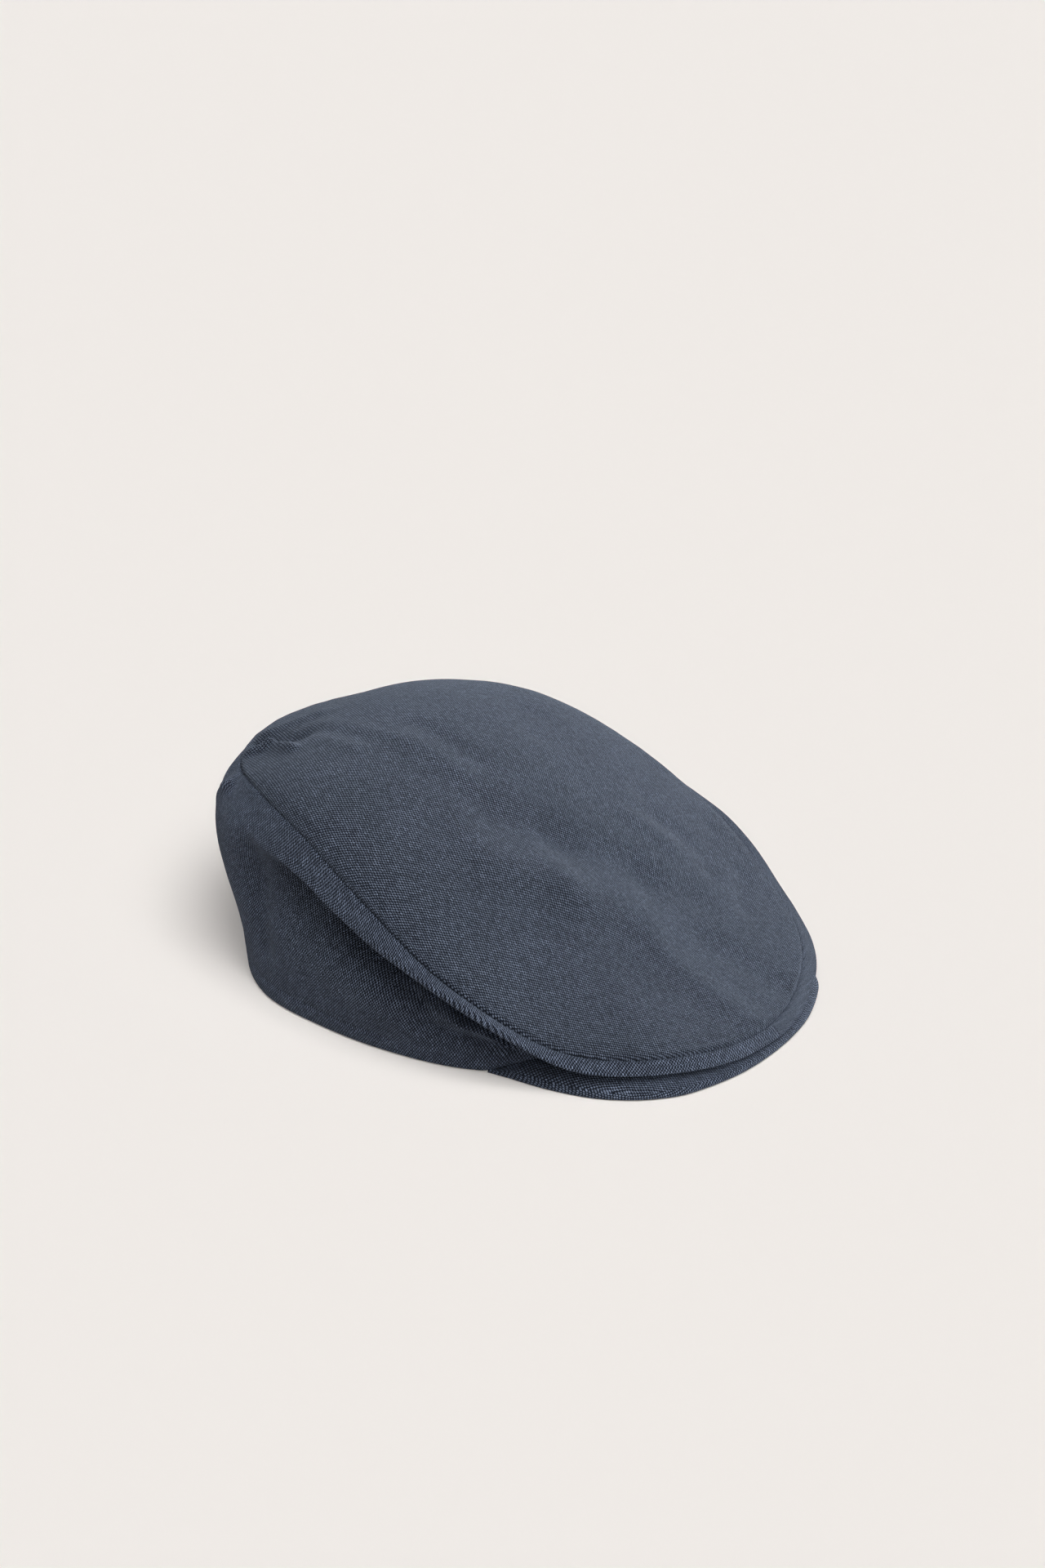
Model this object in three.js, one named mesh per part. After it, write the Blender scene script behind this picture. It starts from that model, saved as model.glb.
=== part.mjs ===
// A flat cap lying on its hem and peak: an egg-shaped top panel, two side panels that meet at the
// centre back and the centre front, and a short stiff peak under the front overhang.
// Millimetres, +Z up, the peak points to -Y. The origin is under the middle of the cap, on the floor.
import * as THREE from "three";

// Cloth and clearances
const CLOTH = 1.6;
const HEM_CLOTH = 2.4;
const HEM_BAND = 9;
const GAP = 0.3;
const SEAM_SET_BACK = 0.22;

// The centre of the head opening lies this far behind the origin
const OPENING_Y = 5.6;

// Section round the crown, one row every 22.5 degrees from the centre back to the centre front.
// Each pair is a radius from the centre of the head opening and a height: the seam of the top panel,
// the roll that stands out below it, the tuck under the roll, the wall, and the radius of the hem.
const SECTION_STEP = 22.5;
const SECTIONS = [
  // seamR seamZ rollR rollZ tuckR tuckZ wallR wallZ hemR
  [106.0, 74.0, 117.0, 60.0, 114.0, 44.0, 107.0, 22.0, 100.0],
  [102.0, 80.0, 111.5, 64.0, 109.5, 46.0, 103.5, 22.0, 97.5],
  [95.0, 84.5, 104.0, 68.0, 100.5, 50.0, 96.0, 22.0, 91.0],
  [92.0, 79.5, 97.0, 67.0, 90.0, 55.0, 89.0, 24.0, 84.0],
  [94.0, 65.5, 97.0, 55.0, 88.0, 46.0, 86.5, 22.0, 81.0],
  [103.0, 42.0, 104.5, 32.5, 93.0, 27.0, 88.0, 13.0, 84.0],
  [114.0, 24.0, 115.5, 15.0, 104.0, 12.5, 93.0, 8.5, 89.0],
  [122.5, 17.0, 124.0, 9.5, 113.0, 8.6, 101.0, 7.0, 96.0],
  [127.0, 16.0, 128.0, 9.0, 117.0, 8.3, 105.0, 6.8, 99.0],
];
const COLUMN = { seamR: 0, seamZ: 1, rollR: 2, rollZ: 3, tuckR: 4, tuckZ: 5, wallR: 6, wallZ: 7, hemR: 8 };

// How far the dome of the top panel stands above its seam, along the cap
const DOME = [
  // y, rise
  [-128, 9],
  [-100, 16],
  [-60, 23],
  [-20, 23],
  [20, 21],
  [60, 17],
  [106, 9],
];
const DOME_POWER = 0.6;

// The far side has sunk a little lower than the near one
const LEAN = 0.08;
const LEAN_WIDTH = 90;

// The hem climbs onto the peak between these angles
const HEM_ON_PEAK = 4.3;
const HEM_CLIMB = [116, 130];

// Folds of the top panel: a ridge (or, below zero, a dent) from one place in plan to another
const TOP_FOLDS = [
  // x1, y1, x2, y2, height, half width
  [16, 65, -12, 14, 1.8, 9],
  [-26, -14, -6, -46, 1.8, 7],
  [-6, -46, 10, -62, 1.6, 7],
  [4, -76, 5, -112, 1.2, 6],
  [-18, 104, -38, 70, 2.2, 5],
  [-4, 100, -26, 82, -1.8, 5],
  [-62, -8, -56, -26, -1.4, 9],
  [66, 20, 84, -20, -1.6, 10],
  [74, -56, 62, -92, -1.2, 7],
];

// Folds of the wall, between places given by angle and by level: 0 at the seam, 4 at the hem
const WALL_FOLDS = [
  // angle1, level1, angle2, level2, height, half width in degrees
  [104, 2.5, 118, 1.9, 2.6, 4],
  [94, 3.0, 102, 2.2, 1.2, 4],
  [36, 2.6, 50, 1.7, 1.6, 5],
  [25, 0.3, 36, 1.2, -1.8, 5],
  [12, 1.6, 16, 3.0, 1.5, 6],
  [-30, 0.6, -44, 2.2, -1.8, 7],
  [-70, 1.2, -84, 2.6, 1.6, 7],
  [-20, 1.8, -14, 3.2, 1.4, 6],
];
const LEVEL_DEGREES = 11;

// Peak outline: the radius of its edge, at angles from the centre back
const PEAK_EDGE = [
  // angle, radius
  [119.0, 84.5],
  [122.5, 90.0],
  [127.0, 99.0],
  [134.0, 108.5],
  [141.0, 115.3],
  [155.0, 123.3],
  [168.0, 125.2],
  [180.0, 125.5],
];
const PEAK_CORNER = 120.5;
const PEAK_EDGE_THICKNESS = 2.8;
const PEAK_ROOT_INSET = 3.4;
const PEAK_NOSE = 1.2;

// Mesh steps
const COLUMNS = 96;
const TOP_RINGS = [0.16, 0.32, 0.46, 0.58, 0.69, 0.79, 0.87, 0.93, 0.97, 1.0];
const WALL_LEVELS = [0, 0.25, 0.5, 0.75, 1, 1.25, 1.5, 2, 2.5, 3, 3.35, 3.7, 4];
const PEAK_COLUMNS = 40;

const radians = (degrees) => (degrees * Math.PI) / 180;
const clamp01 = (t) => Math.min(1, Math.max(0, t));
const smooth = (a, b, x) => {
  const t = clamp01((x - a) / (b - a));
  return t * t * (3 - 2 * t);
};

function catmull(p0, p1, p2, p3, t) {
  const a = 2 * p1 + (p2 - p0) * t;
  const b = (2 * p0 - 5 * p1 + 4 * p2 - p3) * t * t;
  const c = (3 * p1 - p0 - 3 * p2 + p3) * t * t * t;
  return 0.5 * (a + b + c);
}

// A column of the section table at any angle, the same on both sides of the cap
function section(column, angle) {
  const folded = Math.abs(((((angle + 180) % 360) + 360) % 360) - 180) / SECTION_STEP;
  const last = SECTIONS.length - 1;
  const i = Math.min(Math.floor(folded), last - 1);
  const row = (k) => SECTIONS[k < 0 ? -k : k > last ? 2 * last - k : k][column];
  return catmull(row(i - 1), row(i), row(i + 1), row(i + 2), folded - i);
}

// A value from a table of [place, value] rows in rising order, along straight lines between them
function lookUp(table, place) {
  let i = 0;
  while (i < table.length - 2 && table[i + 1][0] < place) i += 1;
  const [a, b] = [table[i], table[i + 1]];
  return a[1] + (b[1] - a[1]) * clamp01((place - a[0]) / (b[0] - a[0]));
}

// The same along a smooth curve, as the mean of the lines over a short stretch
function lookUpSmooth(table, place, stretch) {
  const steps = [-1, -0.6, -0.2, 0.2, 0.6, 1];
  const sum = steps.reduce((total, step) => total + lookUp(table, place + step * stretch), 0);
  return sum / steps.length;
}

// How strongly a fold from (x1, y1) to (x2, y2) is felt at (x, y): full along its line, soft at its sides
function foldAt([x1, y1, x2, y2, height, width], x, y) {
  const [dx, dy] = [x2 - x1, y2 - y1];
  const along = clamp01(((x - x1) * dx + (y - y1) * dy) / (dx * dx + dy * dy));
  const away = Math.hypot(x - x1 - dx * along, y - y1 - dy * along) / width;
  return height * Math.exp(-away * away);
}

const lean = (x) => 1 - LEAN * smooth(0, LEAN_WIDTH, x);
const around = (angle, r, z) => {
  const x = -r * Math.sin(radians(angle));
  return new THREE.Vector3(x, r * Math.cos(radians(angle)), z * lean(x));
};

// The seam seen from the side, front to back, so that the dome can rise from it
const SEAM_PROFILE = [];
for (let angle = 180; angle >= 0; angle -= 1) {
  const y = section(COLUMN.seamR, angle) * Math.cos(radians(angle));
  SEAM_PROFILE.push([y, section(COLUMN.seamZ, angle)]);
}

// The outer face of the top panel: reach 0 in the middle, 1 at the seam
function topPoint(angle, reach) {
  const point = around(angle, section(COLUMN.seamR, angle) * reach, 0);
  const rim = reach ** 6;
  const level = lookUp(SEAM_PROFILE, point.y) * (1 - rim) + section(COLUMN.seamZ, angle) * rim;
  const inside = Math.max(0, 1 - reach * reach);
  point.z = level * lean(point.x) + lookUpSmooth(DOME, point.y, 20) * inside ** DOME_POWER;
  const fade = 1 - smooth(0.9, 1, reach);
  for (const fold of TOP_FOLDS) point.z += fade * foldAt(fold, point.x, point.y);
  return point;
}

const hemHeight = (angle) => HEM_ON_PEAK * smooth(HEM_CLIMB[0], HEM_CLIMB[1], Math.abs(angle));

// The outer face of a side panel: level 0 at the seam, 4 at the hem. Positive angles are the near side.
function wallPoint(angle, level) {
  const pairs = [0, 2, 4, 6].map((c) => [section(c, angle), section(c + 1, angle)]);
  pairs.push([section(COLUMN.hemR, angle), hemHeight(angle)]);
  const knot = (k) => {
    if (k < 0) return [2 * pairs[0][0] - pairs[1][0], 2 * pairs[0][1] - pairs[1][1]];
    if (k > 4) return [2 * pairs[4][0] - pairs[3][0], 2 * pairs[4][1] - pairs[3][1]];
    return pairs[k];
  };
  const i = Math.min(Math.floor(level), 3);
  const at = (n) => catmull(knot(i - 1)[n], knot(i)[n], knot(i + 1)[n], knot(i + 2)[n], level - i);
  const fade = smooth(0, 0.35, level) * (1 - smooth(3.2, 3.9, level));
  let bulge = 0;
  for (const [a1, l1, a2, l2, height, width] of WALL_FOLDS) {
    const fold = [a1, l1 * LEVEL_DEGREES, a2, l2 * LEVEL_DEGREES, height, width];
    bulge += fade * foldAt(fold, angle, level * LEVEL_DEGREES);
  }
  return around(angle, at(0) + bulge, at(1));
}

// The outward normal of a face given as a function of angle and a second place
function normalAt(face, angle, place, step, low, high) {
  const alongAngle = face(angle + 0.5, place).sub(face(angle - 0.5, place));
  const a = Math.max(low, place - step);
  const b = Math.min(high, place + step);
  const alongPlace = face(angle, b).sub(face(angle, a));
  return alongAngle.cross(alongPlace).normalize();
}
const topNormal = (angle, reach) => normalAt(topPoint, angle, reach, 0.01, 0.02, 1).negate();
const wallNormal = (angle, level) => normalAt(wallPoint, angle, level, 0.04, 0, 4).negate();

// The direction through the cloth where the top panel meets a side panel
function seamMitre(angle) {
  const n1 = topNormal(angle, 1);
  const n2 = wallNormal(angle, 0);
  const half = n1.clone().add(n2).normalize();
  return half.divideScalar(Math.max(0.6, half.dot(n1)));
}

// A closed skin from two matching grids of points, the outer one and the inner one
class Skin {
  constructor() {
    this.points = [];
    this.faces = [];
  }

  add(point) {
    this.points.push(point.x, point.y, point.z);
    return this.points.length / 3 - 1;
  }

  quad(a, b, c, d) {
    this.faces.push(a, b, c, a, c, d);
  }

  mesh(name, colour) {
    const geometry = new THREE.BufferGeometry();
    geometry.setAttribute("position", new THREE.Float32BufferAttribute(this.points, 3));
    geometry.setIndex(this.faces);
    geometry.computeVertexNormals();
    const material = new THREE.MeshStandardMaterial({ color: colour, roughness: 0.95, metalness: 0 });
    const mesh = new THREE.Mesh(geometry, material);
    mesh.name = name;
    return mesh;
  }
}

function makeTopPanel() {
  const skin = new Skin();
  const outer = [];
  const inner = [];
  const centre = topPoint(0, 0);
  const outerCentre = skin.add(centre);
  const innerCentre = skin.add(centre.clone().setZ(centre.z - CLOTH));
  for (const ring of TOP_RINGS) {
    const [outerRow, innerRow] = [[], []];
    for (let i = 0; i < COLUMNS; i += 1) {
      const angle = (i * 360) / COLUMNS;
      const atSeam = ring === 1;
      const reach = atSeam ? 1 - SEAM_SET_BACK / section(COLUMN.seamR, angle) : ring;
      const point = topPoint(angle, reach);
      const through = atSeam ? seamMitre(angle) : topNormal(angle, reach);
      outerRow.push(skin.add(point));
      innerRow.push(skin.add(point.clone().addScaledVector(through, -CLOTH)));
    }
    outer.push(outerRow);
    inner.push(innerRow);
  }
  for (let i = 0; i < COLUMNS; i += 1) {
    const j = (i + 1) % COLUMNS;
    skin.faces.push(outerCentre, outer[0][i], outer[0][j]);
    skin.faces.push(innerCentre, inner[0][j], inner[0][i]);
    for (let k = 0; k + 1 < outer.length; k += 1) {
      skin.quad(outer[k][i], outer[k + 1][i], outer[k + 1][j], outer[k][j]);
      skin.quad(inner[k][j], inner[k + 1][j], inner[k + 1][i], inner[k][i]);
    }
    const rim = outer.length - 1;
    skin.quad(outer[rim][i], inner[rim][i], inner[rim][j], outer[rim][j]);
  }
  return skin.mesh("top_panel", 0x3d4656);
}

// Side is 1 for the near panel (-X) and -1 for the far one
function makeSidePanel(name, side) {
  const skin = new Skin();
  const outer = [];
  const inner = [];
  const half = COLUMNS / 2;
  for (let i = 0; i <= half; i += 1) {
    const angle = (side * i * 360) / COLUMNS;
    const [outerRow, innerRow] = [[], []];
    const setBack = (0.1 * SEAM_SET_BACK) / wallPoint(angle, 0).distanceTo(wallPoint(angle, 0.1));
    for (const level of WALL_LEVELS) {
      const first = level === 0;
      const last = level === 4;
      const point = wallPoint(angle, first ? setBack : level);
      const through = first ? seamMitre(angle) : wallNormal(angle, level);
      const nearHem = 1 - smooth(HEM_BAND * 0.7, HEM_BAND * 1.3, point.z - hemHeight(angle));
      const onTheSide = 1 - smooth(HEM_CLIMB[0], HEM_CLIMB[1], Math.abs(angle));
      const thickness = CLOTH + (HEM_CLOTH - CLOTH) * nearHem * onTheSide;
      const deep = point.clone().addScaledVector(through, -thickness);
      if (last) deep.z = point.z + (deep.z - point.z) * (1 - onTheSide);
      for (const p of [point, deep]) {
        if (i === 0 || i === half) p.x = (-side * GAP) / 2;
      }
      outerRow.push(skin.add(point));
      innerRow.push(skin.add(deep));
    }
    outer.push(outerRow);
    inner.push(innerRow);
  }
  const quad = (a, b, c, d) => (side > 0 ? skin.quad(a, b, c, d) : skin.quad(d, c, b, a));
  const rows = WALL_LEVELS.length - 1;
  for (let i = 0; i < half; i += 1) {
    const [o1, o2, n1, n2] = [outer[i], outer[i + 1], inner[i], inner[i + 1]];
    for (let k = 0; k < rows; k += 1) {
      quad(o1[k], o1[k + 1], o2[k + 1], o2[k]);
      quad(n2[k], n2[k + 1], n1[k + 1], n1[k]);
    }
    quad(o2[0], n2[0], n1[0], o1[0]);
    quad(o1[rows], n1[rows], n2[rows], o2[rows]);
  }
  for (let k = 0; k < rows; k += 1) {
    quad(outer[0][k], inner[0][k], inner[0][k + 1], outer[0][k + 1]);
    quad(outer[half][k + 1], inner[half][k + 1], inner[half][k], outer[half][k]);
  }
  return skin.mesh(name, 0x39414f);
}

function makePeak() {
  const skin = new Skin();
  const rows = [];
  for (let i = 0; i <= PEAK_COLUMNS; i += 1) {
    const t = i / PEAK_COLUMNS;
    const angle = PEAK_CORNER + (360 - 2 * PEAK_CORNER) * (t - Math.sin(4 * Math.PI * t) / 18);
    const folded = Math.min(angle, 360 - angle);
    const edge = lookUp(PEAK_EDGE, folded);
    const root = section(COLUMN.hemR, angle) - PEAK_ROOT_INSET;
    const topAtRoot = hemHeight(folded) - GAP;
    const topAtEdge = Math.min(PEAK_EDGE_THICKNESS, topAtRoot);
    const nose = Math.min(PEAK_NOSE, (edge - root) / 4, topAtEdge * 0.45);
    const profile = [
      [root, 0],
      [edge - nose, 0],
      [edge - nose * 0.3, topAtEdge * 0.2],
      [edge, topAtEdge * 0.5],
      [edge - nose * 0.3, topAtEdge * 0.85],
      [edge - nose, topAtEdge],
    ];
    for (const share of [0.66, 0.33]) {
      profile.push([root + (edge - root) * share, topAtEdge + (topAtRoot - topAtEdge) * (1 - share)]);
    }
    profile.push([root, topAtRoot]);
    const place = ([r, z]) => {
      return new THREE.Vector3(-r * Math.sin(radians(angle)), r * Math.cos(radians(angle)), z);
    };
    rows.push(profile.map((pair) => skin.add(place(pair))));
  }
  const count = rows[0].length;
  for (let i = 0; i < PEAK_COLUMNS; i += 1) {
    for (let k = 0; k < count; k += 1) {
      const n = (k + 1) % count;
      skin.quad(rows[i][k], rows[i + 1][k], rows[i + 1][n], rows[i][n]);
    }
  }
  for (let k = 1; k + 1 < count; k += 1) {
    const [a, b] = [rows[0], rows[PEAK_COLUMNS]];
    skin.faces.push(a[0], a[k], a[k + 1], b[0], b[k + 1], b[k]);
  }
  return skin.mesh("peak", 0x363e4c);
}

const cap = new THREE.Group();
cap.position.y = OPENING_Y;
cap.add(makeTopPanel());
cap.add(makeSidePanel("side_panel_right", 1));
cap.add(makeSidePanel("side_panel_left", -1));
cap.add(makePeak());

export default cap;
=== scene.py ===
# A soft navy flat cap of coarse canvas, lying on a pale studio floor.
import math

import bmesh
import bpy
from mathutils import Matrix, Vector, noise


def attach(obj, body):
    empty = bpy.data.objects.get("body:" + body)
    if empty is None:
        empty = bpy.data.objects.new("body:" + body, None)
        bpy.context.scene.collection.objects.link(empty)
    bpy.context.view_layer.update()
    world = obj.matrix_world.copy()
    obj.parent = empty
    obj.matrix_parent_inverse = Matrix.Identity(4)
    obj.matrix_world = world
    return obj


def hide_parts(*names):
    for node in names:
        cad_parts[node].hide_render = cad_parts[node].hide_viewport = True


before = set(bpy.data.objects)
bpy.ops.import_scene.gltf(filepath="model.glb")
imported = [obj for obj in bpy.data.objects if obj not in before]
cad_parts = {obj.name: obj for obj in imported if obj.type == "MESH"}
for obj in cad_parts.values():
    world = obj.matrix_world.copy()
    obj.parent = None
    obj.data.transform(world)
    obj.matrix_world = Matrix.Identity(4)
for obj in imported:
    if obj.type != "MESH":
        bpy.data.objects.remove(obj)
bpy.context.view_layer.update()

MM = 0.001

# The centre of the head opening, behind the origin. Every shape below is in millimetres from it.
OPENING_Y = 5.6

# Section round the crown, one row every 22.5 degrees from the centre back to the centre front:
# the seam of the top panel, the roll below it, the tuck under the roll, the wall, the hem's radius.
SECTION_STEP = 22.5
SECTIONS = [
    # seam r and z, roll r and z, tuck r and z, wall r and z, hem r
    (107.0, 78.4, 117.0, 64.0, 114.0, 46.0, 107.0, 22.0, 100.0),
    (102.0, 81.3, 111.5, 67.0, 110.5, 47.0, 103.0, 22.0, 100.0),
    (94.0, 85.8, 103.5, 72.0, 101.0, 50.0, 96.5, 22.0, 94.0),
    (90.0, 81.5, 96.0, 71.5, 83.5, 57.5, 88.5, 29.0, 84.0),
    (93.2, 66.0, 96.5, 56.5, 73.5, 45.0, 86.5, 25.5, 81.0),
    (101.2, 42.2, 105.0, 40.0, 84.0, 30.0, 87.5, 14.5, 84.0),
    (106.3, 18.2, 110.2, 14.1, 98.0, 10.5, 91.5, 8.0, 88.0),
    (116.6, 12.3, 121.3, 8.2, 110.5, 7.0, 100.0, 6.4, 96.0),
    (120.4, 9.0, 123.8, 5.0, 114.0, 5.7, 104.0, 5.7, 99.0),
]
SEAM_R, SEAM_Z, HEM_R = 0, 1, 8

# The far side bulges out more toward the front: what is added to each column of the section there
FAR_BULGE = (6.0, 2.6, 6.5, 2.6, 4.0, 0.5, 1.0, 0.0, 0.0)
FAR_BULGE_ANGLE = -135
FAR_BULGE_WIDTH = 20

# Rise of the top panel's dome over its seam, along the cap: y and height
DOME = [(-128, 9), (-100, 16), (-60, 23), (-20, 23), (20, 21), (60, 17), (106, 10)]
DOME_POWER = 0.6

# The far side sags: how much of its height it loses, and how far out from the middle
LEAN = 0.08
LEAN_WIDTH = 90

# The hem climbs onto the peak between these angles
HEM_ON_PEAK = 4.3
HEM_CLIMB = (117, 128)

# Cloth
CLOTH = 1.1
HEM_BAND = 8.0
HEM_TURNED = 11.0
HEM_FOLD = 1.15
SEAM_ALLOWANCE = 4.0
SEAM_SINK_TOP = 0.8
SEAM_SINK_WALL = 0.7
SEAM_SINK_WIDTH = 0.6
STITCH_PULL = 0.2
STITCH_STEP = 3.0
STITCH_RADIUS = 110

# Yarns of the weave, and how much their slubs swell and wander
WARP_SPACING = 0.60
WEFT_SPACING = 0.83
YARN_CRIMP = 0.42
YARN_ROUNDNESS = 0.75
SLUB_SWELL = 0.7
SLUB_ALONG = 0.3
YARN_WANDER = 0.75
WEAVE_BUMP = 0.8
WEAVE_DEPTH = 0.28
LIGHT_YARN = (0.135, 0.163, 0.224)
# The side panels and the peak have the top's cloth painted lighter: painted light on them
SIDE_YARN_PAINTED_LIGHTER = (0.164, 0.199, 0.280)
DARK_YARN = (0.0085, 0.0122, 0.022)

# How much each kind of unevenness darkens or lightens the yarns, and how dark the painted shade in the
# hollows between them is
SLUB_SHADES = (0.78, 1.24)
FLOAT_SHADES = (0.80, 1.20)
FIBRE_SHADES = (0.82, 1.18)
CLOUD_SHADES = (0.93, 1.07)
# Painted shade in the hollows between the yarns
HOLLOW_PAINTED_SHADES = (0.2, 1.0)

# Folds of the top panel: a ridge, or below zero a dent, from one place in plan to another
TOP_FOLDS = [
    # x1, y1, x2, y2, height, half width on its right side and on its left side
    # the long fold from the middle toward the front right, and the dent beyond it
    (-44, -24, -24, -46, 1.6, 9, 9),
    (-24, -46, -4, -66, 1.6, 9, 9),
    (-26, -12, -10, -32, -1.5, 9, 9),
    (-10, -32, 14, -56, -1.6, 9, 9),
    (14, -56, 30, -68, -1.3, 8, 8),
    # its end over the front
    (-8, -78, -6, -118, 1.5, 8, 8),
    (16, -84, 22, -114, -1.3, 9, 9),
    # fine folds along the middle and toward the back
    (-20, 32, -19, 4, 0.7, 5, 5),
    (-8, 34, -7, 6, -0.7, 5, 5),
    (-36, 42, -33, 72, 0.45, 4, 4),
    (-29, 42, -26, 70, -0.4, 4, 4),
    (-22, 40, -19, 72, 0.45, 4, 4),
    # gathered cloth at the back corner
    (-37, 92, -33, 83, 2.4, 2.5, 2.5),
    (-33, 83, -41, 68, 2.4, 2.5, 2.5),
    (-25, 95, -29, 74, -3.0, 5, 5),
    (-16, 96, -8, 78, 1.8, 5, 5),
    # short folds toward the far rim
    (34, 6, 48, 14, -1.1, 8, 8),
    (34, -38, 42, -50, 0.9, 5, 5),
    (48, -42, 56, -54, -0.8, 5, 5),
    (54, -30, 84, -20, -0.9, 5, 5),
    (52, -62, 78, -50, -0.9, 4, 4),
    (50, -80, 70, -68, -0.8, 4, 4),
]

# Folds of the wall, between places given by angle and by level: 0 at the seam, 4 at the hem
WALL_FOLDS = [
    # angle1, level1, angle2, level2, height, half width on its upper side and on its lower side
    # the lip that stands out under the roll, and the hollow below it
    (104, 2.62, 112, 2.68, 2.6, 4, 1.0),
    (112, 2.68, 123, 2.5, 4.0, 5, 1.0),
    (105, 2.97, 123, 2.84, -3.0, 1.6, 6),
    (94, 3.1, 101, 2.4, 0.9, 4, 3),
    (84, 3.2, 90, 2.5, 0.7, 4, 4),
    (52, 1.3, 50, 2.9, -2.4, 3.5, 4),
    (40, 1.6, 40, 2.8, 1.2, 6, 5),
    (28, 0.05, 31, 0.45, 1.6, 2.2, 2.2),
    (31, 0.45, 24, 1.0, 1.6, 2.2, 2.2),
    (14, 0.25, 22, 0.8, -3.4, 4.5, 4.5),
    (12, 1.6, 16, 3.0, 1.5, 6, 6),
    (-30, 0.6, -44, 2.2, -1.8, 7, 7),
    (-70, 1.2, -84, 2.6, 1.6, 7, 7),
    (-20, 1.8, -14, 3.2, 1.4, 6, 6),
]
LEVEL_DEGREES = 11

# The roll's edge stands out over the wall, which is drawn in below it. Places and widths are levels.
ROLL_EDGE = 1.7
ROLL_EDGE_LEVEL = 1.0
ROLL_EDGE_WIDTH = 0.15
ROLL_UNDERCUT = 4.5
UNDERCUT_LEVEL = 1.55
UNDERCUT_WIDTH = 0.3
ROLL_STARTS = (50, 72)
ROLL_EDGE_FADES = (112, 130)
UNDERCUT_ENDS = (118, 132)

# The hem's stitched band shows between these angles
BAND_STARTS = (25, 45)
BAND_ENDS = (76, 100)

# Soft unevenness of each cloth
TOP_RIPPLES = [
    # size, seed, height
    (34, 3.1, 0.45),
    (13, 8.4, 0.16),
]
WALL_RIPPLES = [
    # size, seed, height
    (30, 12.5, 0.70),
    (12, 4.4, 0.25),
]

# Peak outline: the radius of its edge at angles from the centre back
PEAK_EDGE = [
    (119.0, 85.0), (122.5, 88.6), (127.0, 93.8), (134.0, 103.2),
    (141.0, 112.8), (148.0, 119.8), (155.0, 124.2), (168.0, 125.3), (180.0, 125.0),
]
PEAK_CORNER = 119.0
PEAK_THICKNESS = 2.8
PEAK_CORNER_THICKNESS = 1.2
PEAK_SWELL = 4.6
PEAK_SLOPE = 5.0
PEAK_ROOT_INSET = 3.4
PEAK_GAP = 0.3
# The peak's cloth columns lie closer together at its corners: the lower this number, the closer
PEAK_EVENNESS = 18


def clamp01(t):
    return min(1.0, max(0.0, t))


def smooth(low, high, x):
    t = clamp01((x - low) / (high - low))
    return t * t * (3 - 2 * t)


def bell(x, middle, width):
    return math.exp(-((x - middle) / width) ** 2)


def catmull(p0, p1, p2, p3, t):
    a = 2 * p1 + (p2 - p0) * t
    b = (2 * p0 - 5 * p1 + 4 * p2 - p3) * t * t
    c = (3 * p1 - p0 - 3 * p2 + p3) * t * t * t
    return 0.5 * (a + b + c)


def section(column, angle):
    """A column of the section table at any angle, alike on both sides but for the far side's bulge."""
    signed = (angle + 180) % 360 - 180
    folded = abs(signed) / SECTION_STEP
    last = len(SECTIONS) - 1
    i = min(int(folded), last - 1)
    rows = [SECTIONS[abs(k) if k <= last else 2 * last - k][column] for k in range(i - 1, i + 3)]
    return catmull(*rows, folded - i) + FAR_BULGE[column] * bell(signed, FAR_BULGE_ANGLE, FAR_BULGE_WIDTH)


def look_up(table, place):
    """A value from rows of place and value, along straight lines between them."""
    i = 0
    while i < len(table) - 2 and table[i + 1][0] < place:
        i += 1
    (x1, y1), (x2, y2) = table[i], table[i + 1]
    return y1 + (y2 - y1) * clamp01((place - x1) / (x2 - x1))


def look_up_smooth(table, place, stretch):
    steps = (-1, -0.6, -0.2, 0.2, 0.6, 1)
    return sum(look_up(table, place + step * stretch) for step in steps) / len(steps)


def fold_at(fold, x, y):
    """How strongly a fold is felt at a place: full along its line, soft at its sides."""
    x1, y1, x2, y2, height, right_width, left_width = fold
    dx, dy = x2 - x1, y2 - y1
    along = clamp01(((x - x1) * dx + (y - y1) * dy) / (dx * dx + dy * dy))
    turned_left = dx * (y - y1) - dy * (x - x1) > 0
    width = left_width if turned_left else right_width
    away = math.hypot(x - x1 - dx * along, y - y1 - dy * along) / width
    return 0.0 if away > 3 else height * math.exp(-away * away)


def lean(x):
    return 1 - LEAN * smooth(0, LEAN_WIDTH, x)


def around(angle, r, z):
    a = math.radians(angle)
    x = -r * math.sin(a)
    return Vector((x, r * math.cos(a), z * lean(x)))


def seam_profile():
    rows = []
    for angle in range(180, -1, -2):
        y = section(SEAM_R, angle) * math.cos(math.radians(angle))
        rows.append((y, section(SEAM_Z, angle)))
    return rows


def table_by_step(table, low, high, stretch):
    """The smoothed table at every millimetre, so that it is quick to read."""
    return [look_up_smooth(table, y, stretch) for y in range(low, high + 1)]


def read_steps(values, low, y):
    t = min(len(values) - 1.001, max(0.0, y - low))
    i = int(t)
    return values[i] + (values[i + 1] - values[i]) * (t - i)


Y_LOW, Y_HIGH = -135, 125
SEAM_LEVELS = table_by_step(seam_profile(), Y_LOW, Y_HIGH, 2)
DOME_RISES = table_by_step(DOME, Y_LOW, Y_HIGH, 20)


def top_point(angle, reach):
    """The outer face of the top panel: reach 0 in the middle, 1 at the seam."""
    point = around(angle, section(SEAM_R, angle) * reach, 0)
    rim = reach ** 6
    level = read_steps(SEAM_LEVELS, Y_LOW, point.y) * (1 - rim) + section(SEAM_Z, angle) * rim
    inside = max(0.0, 1 - reach * reach) ** DOME_POWER
    point.z = level * lean(point.x) + read_steps(DOME_RISES, Y_LOW, point.y) * inside
    return point


def hem_height(angle):
    return HEM_ON_PEAK * smooth(*HEM_CLIMB, abs(angle))


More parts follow.
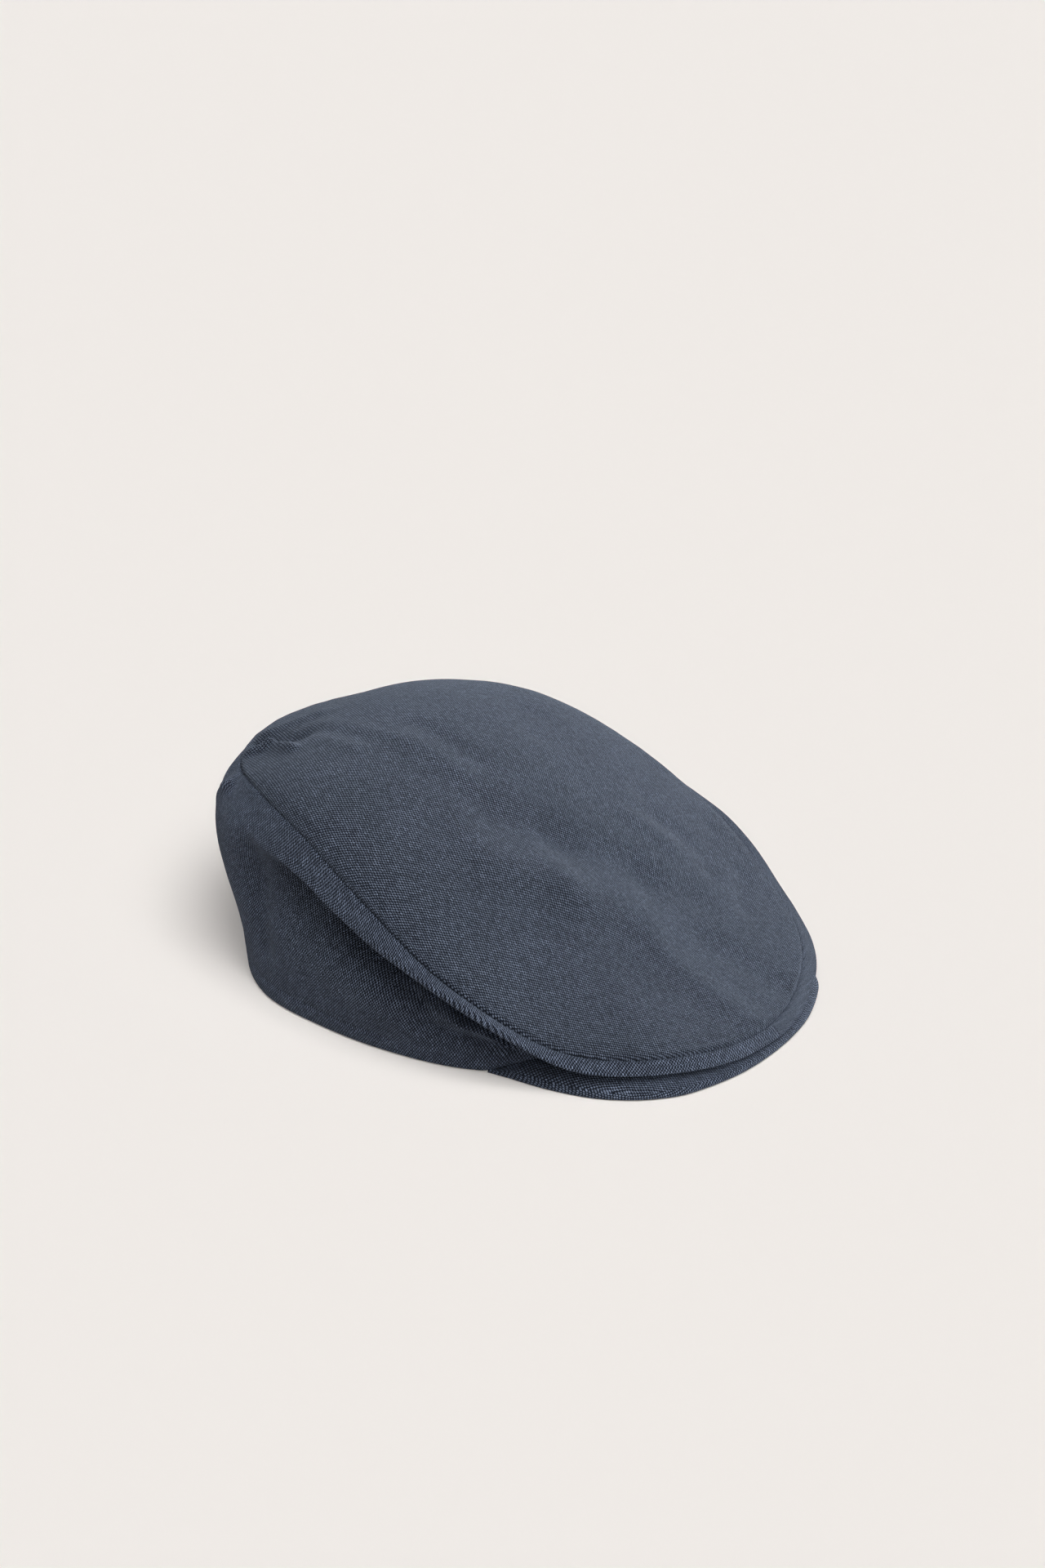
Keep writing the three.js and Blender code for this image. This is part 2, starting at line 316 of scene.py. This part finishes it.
def wall_point(angle, level):
    """The outer face of a side panel: level 0 at the seam, 4 at the hem."""
    pairs = [(section(c, angle), section(c + 1, angle)) for c in (0, 2, 4, 6)]
    pairs.append((section(HEM_R, angle), hem_height(angle)))
    before = (2 * pairs[0][0] - pairs[1][0], 2 * pairs[0][1] - pairs[1][1])
    after = (2 * pairs[4][0] - pairs[3][0], 2 * pairs[4][1] - pairs[3][1])
    knots = [before] + pairs + [after]
    i = min(int(level), 3)
    r, z = (catmull(*(knots[i + k][n] for k in range(4)), level - i) for n in (0, 1))
    return around(angle, r, z)


def normal_of(face, angle, place, step, low, high):
    along_angle = face(angle + 0.5, place) - face(angle - 0.5, place)
    along_place = face(angle, min(high, place + step)) - face(angle, max(low, place - step))
    return along_place.cross(along_angle).normalized()


class Grid:
    """Values on an even grid of angles and places, read in between by straight lines."""

    def __init__(self, rows, first_angle, angle_step, place_step):
        self.rows = rows
        self.first_angle = first_angle
        self.angle_step = angle_step
        self.place_step = place_step

    def read(self, angle, place):
        a = min(len(self.rows) - 1.001, max(0.0, (angle - self.first_angle) / self.angle_step))
        p = min(len(self.rows[0]) - 1.001, max(0.0, place / self.place_step))
        i, j = int(a), int(p)
        fa, fp = a - i, p - j
        low = self.rows[i][j] * (1 - fp) + self.rows[i][j + 1] * fp
        high = self.rows[i + 1][j] * (1 - fp) + self.rows[i + 1][j + 1] * fp
        return low * (1 - fa) + high * fa


def lengths_along(points):
    """Running lengths along a row of points."""
    total, out = 0.0, [0.0]
    for a, b in zip(points, points[1:]):
        total += (b - a).length
        out.append(total)
    return out


ANGLE_STEP = 2
REACH_STEP = 1 / 50
LEVEL_STEP = 0.1
TOP_ANGLES = list(range(-180, 181, ANGLE_STEP))
REACHES = [k * REACH_STEP for k in range(51)]
LEVELS = [k * LEVEL_STEP for k in range(41)]
# The cloth's grain runs true round the wall at this angle
GRAIN_ANGLE = 135

TOP_LENGTHS = Grid([lengths_along([top_point(a, r) for r in REACHES]) for a in TOP_ANGLES],
                   -180, ANGLE_STEP, REACH_STEP)


def wall_grids():
    """Lengths down the wall from the seam, and round it from where the grain runs true."""
    points = [[wall_point(a, l) for l in LEVELS] for a in TOP_ANGLES]
    down = [lengths_along(row) for row in points]
    round_rows = []
    for k in range(len(LEVELS)):
        running = lengths_along([row[k] for row in points])
        near = running[TOP_ANGLES.index(GRAIN_ANGLE - GRAIN_ANGLE % ANGLE_STEP)]
        round_rows.append([value - near for value in running])
    across = [[round_rows[k][i] for k in range(len(LEVELS))] for i in range(len(TOP_ANGLES))]
    return (Grid(down, -180, ANGLE_STEP, LEVEL_STEP), Grid(across, -180, ANGLE_STEP, LEVEL_STEP))


WALL_DOWN, WALL_ROUND = wall_grids()


def seam_mitre(angle):
    """The direction into the cap between the two cloths of the seam."""
    n1 = normal_of(top_point, angle, 0.99, 0.01, 0.02, 1)
    n2 = normal_of(wall_point, angle, 0.02, 0.05, 0, 4)
    return -(n1 + n2).normalized()


MITRES = Grid([[seam_mitre(a)] * 2 for a in TOP_ANGLES], -180, ANGLE_STEP, 1)
TOP_NORMALS = Grid([[normal_of(top_point, a, max(0.02, r), 0.01, 0.01, 1) for r in REACHES]
                    for a in TOP_ANGLES], -180, ANGLE_STEP, REACH_STEP)
WALL_NORMALS = Grid([[normal_of(wall_point, a, l, 0.05, 0, 4) for l in LEVELS]
                     for a in TOP_ANGLES], -180, ANGLE_STEP, LEVEL_STEP)


def ripple(point, size, seed):
    """Soft unevenness of the cloth, between -1 and 1."""
    return noise.noise(point / size + Vector((seed, seed * 1.7, -seed)))


# Shares of each piece's grid given to the seam allowance, the hem's turn and the hem's fold
TOP_BODY = 0.96
SEAM_AT = 0.965
HEM_AT = 0.12
HEM_FOLD_SHARE = 0.025
SEAM_GAP = 0.12


def seam_sink(angle, depth, from_seam):
    """How far the seam lies in its groove. The stitches draw it in at even steps."""
    along = math.radians(angle) * STITCH_RADIUS
    pull = 1 - STITCH_PULL + STITCH_PULL * math.cos(2 * math.pi * along / STITCH_STEP)
    return depth * pull * bell(from_seam, 0, SEAM_SINK_WIDTH)


def top_relief(angle, reach, point, from_seam):
    """How far the top panel's cloth stands out of its base shape."""
    fade = smooth(0.3, 5, from_seam)
    height = sum(fold_at(fold, point.x, point.y) for fold in TOP_FOLDS) * fade
    for size, seed, rise in TOP_RIPPLES:
        height += rise * ripple(point, size, seed) * fade
    # The allowance turned inside lifts the cloth beside the seam and puckers it
    height += 0.35 * bell(from_seam, 2.0, 1.2)
    height += 0.22 * bell(from_seam, 6.5, 2.6)
    height += 0.25 * ripple(point, 7, 5.5) * bell(from_seam, 3.5, 3.5)
    return height


def wall_relief(angle, level, point, from_seam, from_hem):
    """How far the side panel's cloth stands out of its base shape."""
    fade = smooth(0.0, 0.35, level) * smooth(0, 6, from_hem)
    folded = abs(angle)
    rolled = smooth(*ROLL_STARTS, folded)
    edge = ROLL_EDGE * bell(level, ROLL_EDGE_LEVEL, ROLL_EDGE_WIDTH)
    undercut = ROLL_UNDERCUT * bell(level, UNDERCUT_LEVEL, UNDERCUT_WIDTH)
    height = edge * rolled * (1 - 0.7 * smooth(*ROLL_EDGE_FADES, folded))
    height -= undercut * rolled * (1 - smooth(*UNDERCUT_ENDS, folded))
    for a1, l1, a2, l2, rise, upper, lower in WALL_FOLDS:
        fold = (a1, l1 * LEVEL_DEGREES, a2, l2 * LEVEL_DEGREES, rise, upper, lower)
        height += fade * fold_at(fold, angle, level * LEVEL_DEGREES)
    for size, seed, rise in WALL_RIPPLES:
        height += rise * ripple(point, size, seed) * fade
    banded = smooth(*BAND_STARTS, folded) * (1 - smooth(*BAND_ENDS, folded))
    height -= 0.7 * bell(from_hem, HEM_BAND, 1.0) * banded
    height += 0.3 * bell(from_hem, 5, 2.5) * banded
    height += 0.2 * bell(from_seam, 2.0, 1.2)
    return height


def place_top(s, t):
    """The top panel's cloth from a square: rings of the square become rings round the crown."""
    ring = max(abs(s), abs(t))
    if ring == 0:
        turn = 0.0
    elif abs(s) >= abs(t):
        turn = 45 * t / s + (180 if s < 0 else 0)
    else:
        turn = 90 - 45 * s / t + (180 if t < 0 else 0)
    angle = (turn - 90 + 180) % 360 - 180
    inside = max(0.0, (ring - TOP_BODY) / (1 - TOP_BODY)) * SEAM_ALLOWANCE
    reach = 1 - (1 - min(1.0, ring / TOP_BODY)) ** 1.25
    point = top_point(angle, reach)
    from_seam = TOP_LENGTHS.read(angle, 1) - TOP_LENGTHS.read(angle, reach)
    spread = TOP_LENGTHS.read(angle, reach) + inside
    a = math.radians(angle)
    uv = (-spread * math.sin(a), spread * math.cos(a))
    point += MITRES.read(angle, 0) * (seam_sink(angle, SEAM_SINK_TOP, from_seam) + inside)
    point += Vector((math.sin(a), -math.cos(a), 0)) * SEAM_GAP
    if inside == 0:
        point += TOP_NORMALS.read(angle, reach) * top_relief(angle, reach, point, from_seam)
    return point, uv


def place_wall(side):
    """The cloth of one side panel from a square: side 1 is the cap's right, -1 its left."""
    def place(s, t):
        """t runs up from the turned hem, over the wall, into the seam."""
        angle = 90 * (s + 1) - (0 if side > 0 else 180)
        height = (t + 1) / 2
        length = WALL_DOWN.read(angle, 4)
        near_hem = (WALL_DOWN.read(angle, 4) - WALL_DOWN.read(angle, 3.9)) / 0.1
        inside = max(0.0, (height - SEAM_AT) / (1 - SEAM_AT)) * SEAM_ALLOWANCE
        offset = 0.0
        turned = False
        if height < HEM_AT - HEM_FOLD_SHARE:
            turned = True
            share = (HEM_AT - HEM_FOLD_SHARE - height) / (HEM_AT - HEM_FOLD_SHARE)
            back = HEM_FOLD + share * HEM_TURNED
            level = 4 - back / near_hem
            offset = -2 * HEM_FOLD
        elif height < HEM_AT + HEM_FOLD_SHARE:
            turn = (HEM_AT + HEM_FOLD_SHARE - height) / (2 * HEM_FOLD_SHARE) * math.pi
            turned = turn > math.pi / 2
            level = 4 - HEM_FOLD * (1 - math.sin(turn)) / near_hem
            offset = -HEM_FOLD * (1 - math.cos(turn))
        else:
            climb = (height - HEM_AT - HEM_FOLD_SHARE) / (SEAM_AT - HEM_AT - HEM_FOLD_SHARE)
            level = (4 - HEM_FOLD / near_hem) * (1 - min(1.0, climb)) ** 1.1
        point = wall_point(angle, level)
        from_seam = WALL_DOWN.read(angle, level)
        from_hem = length - from_seam
        if inside == 0:
            relief = wall_relief(angle, level, point, from_seam, from_hem)
            point += WALL_NORMALS.read(angle, level) * (relief + offset)
        point += MITRES.read(angle, 0) * (seam_sink(angle, SEAM_SINK_WALL, from_seam) + inside)
        down = -from_hem if turned else from_hem + inside
        return point, (WALL_ROUND.read(angle, level), down)
    return place


def cloth_piece(name, columns, rows, place):
    """A sheet of quads laid over a shape, with its own map of the cloth in metres."""
    bm = bmesh.new()
    bmesh.ops.create_grid(bm, x_segments=columns, y_segments=rows, size=1.0)
    maps = []
    for vertex in bm.verts:
        point, uv = place(vertex.co.x, vertex.co.y)
        maps.append(uv)
        point.z = max(point.z, 0.0)
        vertex.co = (point + Vector((0, OPENING_Y, 0))) * MM
    layer = bm.loops.layers.uv.new("cloth")
    bm.verts.index_update()
    for face in bm.faces:
        face.smooth = True
        for loop in face.loops:
            u, v = maps[loop.vert.index]
            loop[layer].uv = (u * MM, v * MM)
    mesh = bpy.data.meshes.new(name)
    bm.to_mesh(mesh)
    bm.free()
    piece = bpy.data.objects.new(name, mesh)
    bpy.context.scene.collection.objects.link(piece)
    return piece


def give_wall(piece, thickness):
    wall = piece.modifiers.new("wall", "SOLIDIFY")
    wall.thickness = thickness * MM
    wall.offset = -1
    wall.use_rim = True


def place_peak(s, t):
    """The peak's cloth wraps a stiff core: t runs out underneath, round the edge and back on top."""
    share = (s + 1) / 2
    crowded = share - math.sin(4 * math.pi * share) / PEAK_EVENNESS
    angle = PEAK_CORNER + (360 - 2 * PEAK_CORNER) * crowded
    folded = min(angle, 360 - angle)
    edge = look_up_smooth(PEAK_EDGE, folded, 2)
    root = section(HEM_R, angle) - PEAK_ROOT_INSET
    at_root = max(PEAK_CORNER_THICKNESS, hem_height(folded) - PEAK_GAP)
    at_edge = min(PEAK_THICKNESS, at_root)
    half = at_edge / 2
    width = edge - root - half
    path = (t + 1) / 2 * (2 * width + math.pi * half)
    a = math.radians(angle)
    if path < width:
        point = around(angle, root + path, 0)
        reach = root + path
    elif path < width + math.pi * half:
        turn = (path - width) / half
        point = around(angle, edge - half + half * math.sin(turn), 0)
        point.z = half * (1 - math.cos(turn))
        reach = root + path
    else:
        back = path - width - math.pi * half
        rest = clamp01(back / width)
        point = around(angle, edge - half - back, 0)
        roomy = smooth(4, 14, width) * (1 - 0.8 * smooth(138, 168, folded))
        swell = PEAK_SWELL * (1 - math.exp(-back / PEAK_SLOPE)) * (1 - smooth(0.55, 1, rest)) * roomy
        point.z = at_edge + (at_root - at_edge) * smooth(0.1, 1, rest) + swell
        reach = root + 2 * width + 2 * math.pi * half - path
    return point, (-reach * math.sin(a), reach * math.cos(a))


# Places of the colour sockets on the mix node
MIX_FACTOR, MIX_FIRST, MIX_SECOND = 0, 6, 7
MIX_RESULT = 2


def math_node(tree, operation, *inputs):
    node = tree.nodes.new("ShaderNodeMath")
    node.operation = operation
    for socket, value in zip(node.inputs, inputs):
        if isinstance(value, (int, float)):
            socket.default_value = value
        else:
            tree.links.new(value, socket)
    return node.outputs[0]


def noise_node(tree, vector, scale, detail, roughness=0.5):
    node = tree.nodes.new("ShaderNodeTexNoise")
    node.inputs["Scale"].default_value = scale
    node.inputs["Detail"].default_value = detail
    node.inputs["Roughness"].default_value = roughness
    tree.links.new(vector, node.inputs["Vector"])
    return node.outputs["Fac"]


def remap_node(tree, value, low, high, to_low, to_high):
    node = tree.nodes.new("ShaderNodeMapRange")
    node.interpolation_type = "SMOOTHSTEP"
    for name, number in zip(("From Min", "From Max", "To Min", "To Max"), (low, high, to_low, to_high)):
        node.inputs[name].default_value = number
    tree.links.new(value, node.inputs["Value"])
    return node.outputs["Result"]


def mix_colours(tree, factor, first, second, blend="MIX"):
    """A mix of two colours. Each input is a socket to link or a plain value."""
    node = tree.nodes.new("ShaderNodeMix")
    node.data_type = "RGBA"
    node.blend_type = blend
    for place, wanted in ((MIX_FACTOR, factor), (MIX_FIRST, first), (MIX_SECOND, second)):
        socket = node.inputs[place]
        if isinstance(wanted, bpy.types.NodeSocket):
            tree.links.new(wanted, socket)
        elif place == MIX_FACTOR:
            socket.default_value = wanted
        else:
            socket.default_value = (*wanted, 1)
    return node.outputs[MIX_RESULT]


def plain_weave_group():
    """Plain weave of slubby yarns on a map in metres: the cloth's colour, and its height for bump."""
    group = bpy.data.node_groups.new("plain_weave", "ShaderNodeTree")
    group.interface.new_socket("Map", in_out="INPUT", socket_type="NodeSocketVector")
    group.interface.new_socket("Warp Colour", in_out="INPUT", socket_type="NodeSocketColor")
    group.interface.new_socket("Weft Colour", in_out="INPUT", socket_type="NodeSocketColor")
    group.interface.new_socket("Colour", in_out="OUTPUT", socket_type="NodeSocketColor")
    group.interface.new_socket("Height", in_out="OUTPUT", socket_type="NodeSocketFloat")
    inlet = group.nodes.new("NodeGroupInput")
    outlet = group.nodes.new("NodeGroupOutput")

    # The yarns wander a little
    wander = group.nodes.new("ShaderNodeTexNoise")
    wander.inputs["Scale"].default_value = 260
    wander.inputs["Detail"].default_value = 2
    group.links.new(inlet.outputs["Map"], wander.inputs["Vector"])
    shift = group.nodes.new("ShaderNodeVectorMath")
    shift.operation = "MULTIPLY_ADD"
    group.links.new(wander.outputs["Color"], shift.inputs[0])
    shift.inputs[1].default_value = (YARN_WANDER * MM, YARN_WANDER * MM, 0)
    group.links.new(inlet.outputs["Map"], shift.inputs[2])
    split = group.nodes.new("ShaderNodeSeparateXYZ")
    group.links.new(shift.outputs[0], split.inputs[0])

    def m(operation, *inputs):
        return math_node(group, operation, *inputs)

    a = m("DIVIDE", split.outputs["X"], WARP_SPACING * MM)
    b = m("DIVIDE", split.outputs["Y"], WEFT_SPACING * MM)
    i, j = m("FLOOR", a), m("FLOOR", b)
    across_warp = m("SUBTRACT", m("SUBTRACT", a, i), 0.5)
    across_weft = m("SUBTRACT", m("SUBTRACT", b, j), 0.5)

    def yarn_noise(number, along, offset):
        where = group.nodes.new("ShaderNodeCombineXYZ")
        group.links.new(m("MULTIPLY", number, 3.7), where.inputs["X"])
        group.links.new(m("MULTIPLY", along, SLUB_ALONG), where.inputs["Y"])
        where.inputs["Z"].default_value = offset
        return noise_node(group, where.outputs[0], 1.0, 2)

    warp_slub = yarn_noise(i, b, 0)
    weft_slub = yarn_noise(j, a, 40)

    def yarn_height(place, number, sign, across, slub):
        turn = m("ADD", m("SUBTRACT", place, 0.5), number)
        crimp = m("MULTIPLY", m("COSINE", m("MULTIPLY", turn, math.pi)), YARN_CRIMP * sign)
        arch = m("SUBTRACT", m("COSINE", m("MULTIPLY", across, math.pi)), 1.0)
        round_top = m("MULTIPLY", arch, YARN_ROUNDNESS)
        swell = m("MULTIPLY", m("SUBTRACT", slub, 0.5), SLUB_SWELL)
        return m("ADD", m("ADD", crimp, round_top), swell)

    warp = yarn_height(b, i, 1, across_warp, warp_slub)
    weft = yarn_height(a, j, -1, across_weft, weft_slub)
    height = m("MAXIMUM", warp, weft)
    on_top = remap_node(group, m("SUBTRACT", warp, weft), 0.0, 0.3, 0, 1)
    crossing = group.nodes.new("ShaderNodeCombineXYZ")
    group.links.new(i, crossing.inputs["X"])
    group.links.new(j, crossing.inputs["Y"])
    chance = group.nodes.new("ShaderNodeTexWhiteNoise")
    chance.noise_dimensions = "2D"
    group.links.new(crossing.outputs[0], chance.inputs["Vector"])
    shade = group.nodes.new("ShaderNodeMix")
    shade.data_type = "FLOAT"
    group.links.new(on_top, shade.inputs["Factor"])
    group.links.new(weft_slub, shade.inputs["A"])
    group.links.new(warp_slub, shade.inputs["B"])
    group.links.new(height, outlet.inputs["Height"])

    # Slubs, single floats, fibres and broad clouds each shade the yarns, and painted shade darkens the
    # hollows between them
    yarn = mix_colours(group, on_top, inlet.outputs["Weft Colour"], inlet.outputs["Warp Colour"])
    fibre = noise_node(group, inlet.outputs["Map"], 4200, 2)
    cloudy = noise_node(group, inlet.outputs["Map"], 42, 3)
    painted_hollow_shade = remap_node(group, height, -0.55, 0.2, 0, 1)
    strength = remap_node(group, shade.outputs["Result"], 0.3, 0.7, *SLUB_SHADES)
    for factor in (remap_node(group, chance.outputs["Value"], 0, 1, *FLOAT_SHADES),
                   remap_node(group, fibre, 0.3, 0.7, *FIBRE_SHADES),
                   remap_node(group, cloudy, 0.25, 0.75, *CLOUD_SHADES),
                   remap_node(group, painted_hollow_shade, 0, 1, *HOLLOW_PAINTED_SHADES)):
        strength = m("MULTIPLY", strength, factor)
    grey = group.nodes.new("ShaderNodeCombineColor")
    for socket in grey.inputs:
        group.links.new(strength, socket)
    colour = mix_colours(group, 1.0, yarn, grey.outputs[0], "MULTIPLY")
    group.links.new(colour, outlet.inputs["Colour"])
    return group


def canvas_material(name, warp_colour, weft_colour, weave):
    """Coarse navy canvas: light warp floats over dark weft, slubs, and painted shade in the hollows
    between the yarns.
    """
    material = bpy.data.materials.new(name)
    material.use_nodes = True
    tree = material.node_tree
    shader = tree.nodes["Principled BSDF"]
    shader.inputs["Roughness"].default_value = 0.92
    shader.inputs["Specular IOR Level"].default_value = 0.22
    shader.inputs["Sheen Weight"].default_value = 0.18
    shader.inputs["Sheen Roughness"].default_value = 0.45
    shader.inputs["Sheen Tint"].default_value = (0.55, 0.68, 0.9, 1)
    uv = tree.nodes.new("ShaderNodeUVMap")
    uv.uv_map = "cloth"
    cloth = tree.nodes.new("ShaderNodeGroup")
    cloth.node_tree = weave
    tree.links.new(uv.outputs["UV"], cloth.inputs["Map"])

    cloth.inputs["Warp Colour"].default_value = (*warp_colour, 1)
    cloth.inputs["Weft Colour"].default_value = (*weft_colour, 1)
    tree.links.new(cloth.outputs["Colour"], shader.inputs["Base Color"])

    bump = tree.nodes.new("ShaderNodeBump")
    bump.inputs["Strength"].default_value = WEAVE_BUMP
    bump.inputs["Distance"].default_value = WEAVE_DEPTH * MM
    tree.links.new(cloth.outputs["Height"], bump.inputs["Height"])
    tree.links.new(bump.outputs["Normal"], shader.inputs["Normal"])
    return material


def dress(piece, material, node):
    piece.data.materials.append(material)
    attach(piece, "root")
    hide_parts(node)


# Quads across and along each cloth
TOP_QUADS = (200, 200)
WALL_QUADS = (340, 116)
PEAK_QUADS = (300, 60)


def build_cap():
    weave = plain_weave_group()
    top_cloth = canvas_material("navy_canvas_top", LIGHT_YARN, DARK_YARN, weave)
    # The side panels and the peak get the lighter yarn: painted light
    side_cloth_painted_lighter = canvas_material("navy_canvas_side_painted_lighter", SIDE_YARN_PAINTED_LIGHTER, DARK_YARN, weave)
    peak_cloth = canvas_material("navy_canvas_peak_painted_lighter", SIDE_YARN_PAINTED_LIGHTER, DARK_YARN, weave)

    top = cloth_piece("top_panel_cloth", *TOP_QUADS, place_top)
    give_wall(top, CLOTH)
    dress(top, top_cloth, "top_panel")
    pieces = [top]
    for name, side in (("side_panel_right", 1), ("side_panel_left", -1)):
        panel = cloth_piece(name + "_cloth", *WALL_QUADS, place_wall(side))
        give_wall(panel, CLOTH)
        dress(panel, side_cloth_painted_lighter, name)
        pieces.append(panel)
    peak = cloth_piece("peak_cloth", *PEAK_QUADS, place_peak)
    dress(peak, peak_cloth, "peak")
    return pieces + [peak]


FLOOR_SIZE = 12.0
FLOOR_COLOUR = (0.871, 0.831, 0.799)
# The camera sees a pale floor that glows faintly; the cap above it gets only a share of that light
FLOOR_GLOW = 0.22
FLOOR_BOUNCE = 0.5
ROOM_GLOW = 0.04

# Broad lights. Their directions are right, behind and up in the camera's view.
LIGHTS = [
    # name, direction, spread in degrees, energy, what it lights
    ("room_light", (0.2, -0.68, 0.95), 30, 1.5, "all"),
    ("light_on_the_floor", (0.1, -0.7, 1.0), 45, 1.35, "floor"),
    ("window_behind", (0.45, 0.85, 0.4), 40, 2.35, "cap"),
    ("window_in_front", (0.25, -0.9, 0.4), 30, 0.6, "cap"),
    ("window_on_the_right", (0.85, -0.4, 0.4), 35, 1.15, "cap"),
    ("window_on_the_left", (-0.9, 0.5, 0.3), 30, 0.75, "cap"),
]

# The camera looks down at the cap's right side, at the photograph's angle
VIEW_AZIMUTH = -58
VIEW_ELEVATION = 25
VIEW_DISTANCE = 1800
VIEW_RIGHT = 8.49
VIEW_UP = 71.78
FOCAL_LENGTH = 105.98
SENSOR_HEIGHT = 36


def view_axes(azimuth, elevation):
    a, e = math.radians(azimuth), math.radians(elevation)
    right = Vector((math.cos(a), math.sin(a), 0))
    up = Vector((-math.sin(a) * math.sin(e), math.cos(a) * math.sin(e), math.cos(e)))
    back = Vector((math.sin(a) * math.cos(e), -math.cos(a) * math.cos(e), math.sin(e)))
    return right, up, back


def place_camera():
    right, up, back = view_axes(VIEW_AZIMUTH, VIEW_ELEVATION)
    spot = right * VIEW_RIGHT + up * VIEW_UP + back * VIEW_DISTANCE + Vector((0, OPENING_Y, 0))
    data = bpy.data.cameras.new("camera")
    data.sensor_fit = "VERTICAL"
    data.sensor_height = SENSOR_HEIGHT
    data.lens = FOCAL_LENGTH
    camera = bpy.data.objects.new("camera", data)
    turned = Matrix((right, up, back)).transposed().to_4x4()
    camera.matrix_world = Matrix.Translation(spot * MM) @ turned
    bpy.context.scene.collection.objects.link(camera)
    bpy.context.scene.camera = camera


def build_floor():
    """A pale floor whose own faint glow keeps the shadows on it light."""
    bm = bmesh.new()
    bmesh.ops.create_grid(bm, x_segments=1, y_segments=1, size=FLOOR_SIZE)
    mesh = bpy.data.meshes.new("floor")
    bm.to_mesh(mesh)
    bm.free()
    floor = bpy.data.objects.new("floor", mesh)
    floor.location.z = -0.2 * MM
    bpy.context.scene.collection.objects.link(floor)
    paint = bpy.data.materials.new("pale_floor")
    paint.use_nodes = True
    shader = paint.node_tree.nodes["Principled BSDF"]
    shader.inputs["Roughness"].default_value = 1.0
    shader.inputs["Specular IOR Level"].default_value = 0.0
    shader.inputs["Emission Color"].default_value = (*FLOOR_COLOUR, 1)
    tree = paint.node_tree
    seen = tree.nodes.new("ShaderNodeLightPath").outputs["Is Camera Ray"]
    dimmed = tuple(FLOOR_BOUNCE * value for value in FLOOR_COLOUR)
    tree.links.new(mix_colours(tree, seen, dimmed, FLOOR_COLOUR), shader.inputs["Base Color"])
    tree.links.new(math_node(tree, "MULTIPLY", seen, FLOOR_GLOW), shader.inputs["Emission Strength"])
    mesh.materials.append(paint)
    return floor


def add_soft_light(name, toward, spread, energy, lit):
    """Broad light on the pieces in lit, or on everything when that is None."""
    right, up, back = view_axes(VIEW_AZIMUTH, 0)
    lamp = bpy.data.lights.new(name, "SUN")
    lamp.angle = math.radians(spread)
    lamp.energy = energy
    light = bpy.data.objects.new(name, lamp)
    direction = right * toward[0] - back * toward[1] + up * toward[2]
    light.rotation_euler = direction.to_track_quat("Z", "Y").to_euler()
    bpy.context.scene.collection.objects.link(light)
    if lit:
        receivers = bpy.data.collections.new("lit_by_" + name)
        for piece in lit:
            receivers.objects.link(piece)
        light.light_linking.receiver_collection = receivers


def build_studio(cap_pieces):
    scene = bpy.context.scene
    scene.view_settings.view_transform = "Standard"
    world = bpy.data.worlds.new("studio")
    world.use_nodes = True
    world.node_tree.nodes["Background"].inputs["Color"].default_value = (1, 1, 1, 1)
    world.node_tree.nodes["Background"].inputs["Strength"].default_value = ROOM_GLOW
    scene.world = world
    floor = build_floor()
    lit_by = {"all": None, "floor": [floor], "cap": cap_pieces}
    for name, toward, spread, energy, lit in LIGHTS:
        add_soft_light(name, toward, spread, energy, lit_by[lit])


place_camera()
build_studio(build_cap())
